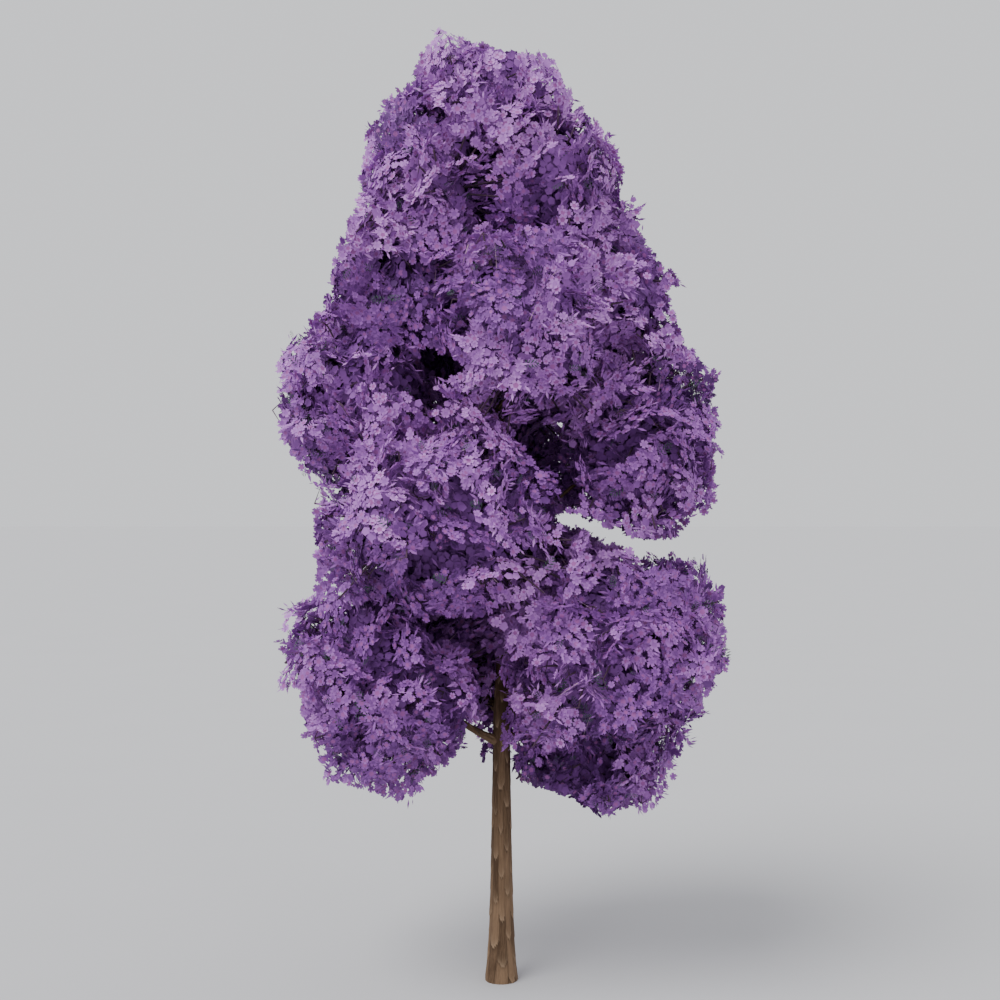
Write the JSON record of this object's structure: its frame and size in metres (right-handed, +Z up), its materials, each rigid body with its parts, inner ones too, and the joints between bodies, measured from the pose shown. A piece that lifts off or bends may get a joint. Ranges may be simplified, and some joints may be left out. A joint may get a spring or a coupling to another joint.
{
  "type": "jacaranda tree in bloom",
  "caption": "Tall slender jacaranda in full violet bloom: a straight flared trunk, boughs that leave it at forks, and rounded masses of blossom on twigs.",
  "frame": {"origin": "middle of the trunk's flat foot, at ground level", "axes": "+Z up along the trunk, -Y towards the front of the tree, +X to its right as seen from the front"},
  "size_m": [5.5496, 4.7653, 11.9745],
  "materials": {
    "bark": "fissured brown bark in long overlapping plates with paler tips",
    "blossom": "soft matt violet and lavender flowers, with dark feathery leaves between them"
  },
  "bodies": {
    "root": {"trunk": "bark", "bough_bottom_right": "bark", "bough_lower_back_left": "bark", "bough_lower_back_right": "bark", "bough_lower_left": "bark", "bough_lower_right": "bark", "bough_middle_back": "bark", "bough_middle_front": "bark", "bough_middle_left": "bark", "bough_middle_right": "bark", "bough_shoulder_back": "bark", "bough_shoulder_front": "bark", "bough_shoulder_left": "bark", "bough_shoulder_right": "bark", "bough_upper_back": "bark", "bough_upper_left": "bark", "bough_upper_right": "bark", "bough_waist_right": "bark", "mass_bottom_right": "blossom", "mass_lower_back_left": "blossom", "mass_lower_back_right": "blossom", "mass_lower_left": "blossom", "mass_lower_right": "blossom", "mass_middle_back": "blossom", "mass_middle_front": "blossom", "mass_middle_left": "blossom", "mass_middle_right": "blossom", "mass_shoulder_back": "blossom", "mass_shoulder_front": "blossom", "mass_shoulder_left": "blossom", "mass_shoulder_right": "blossom", "mass_top": "blossom", "mass_upper_back": "blossom", "mass_upper_left": "blossom", "mass_upper_right": "blossom", "mass_waist_right": "blossom"}
  },
  "joints": []
}
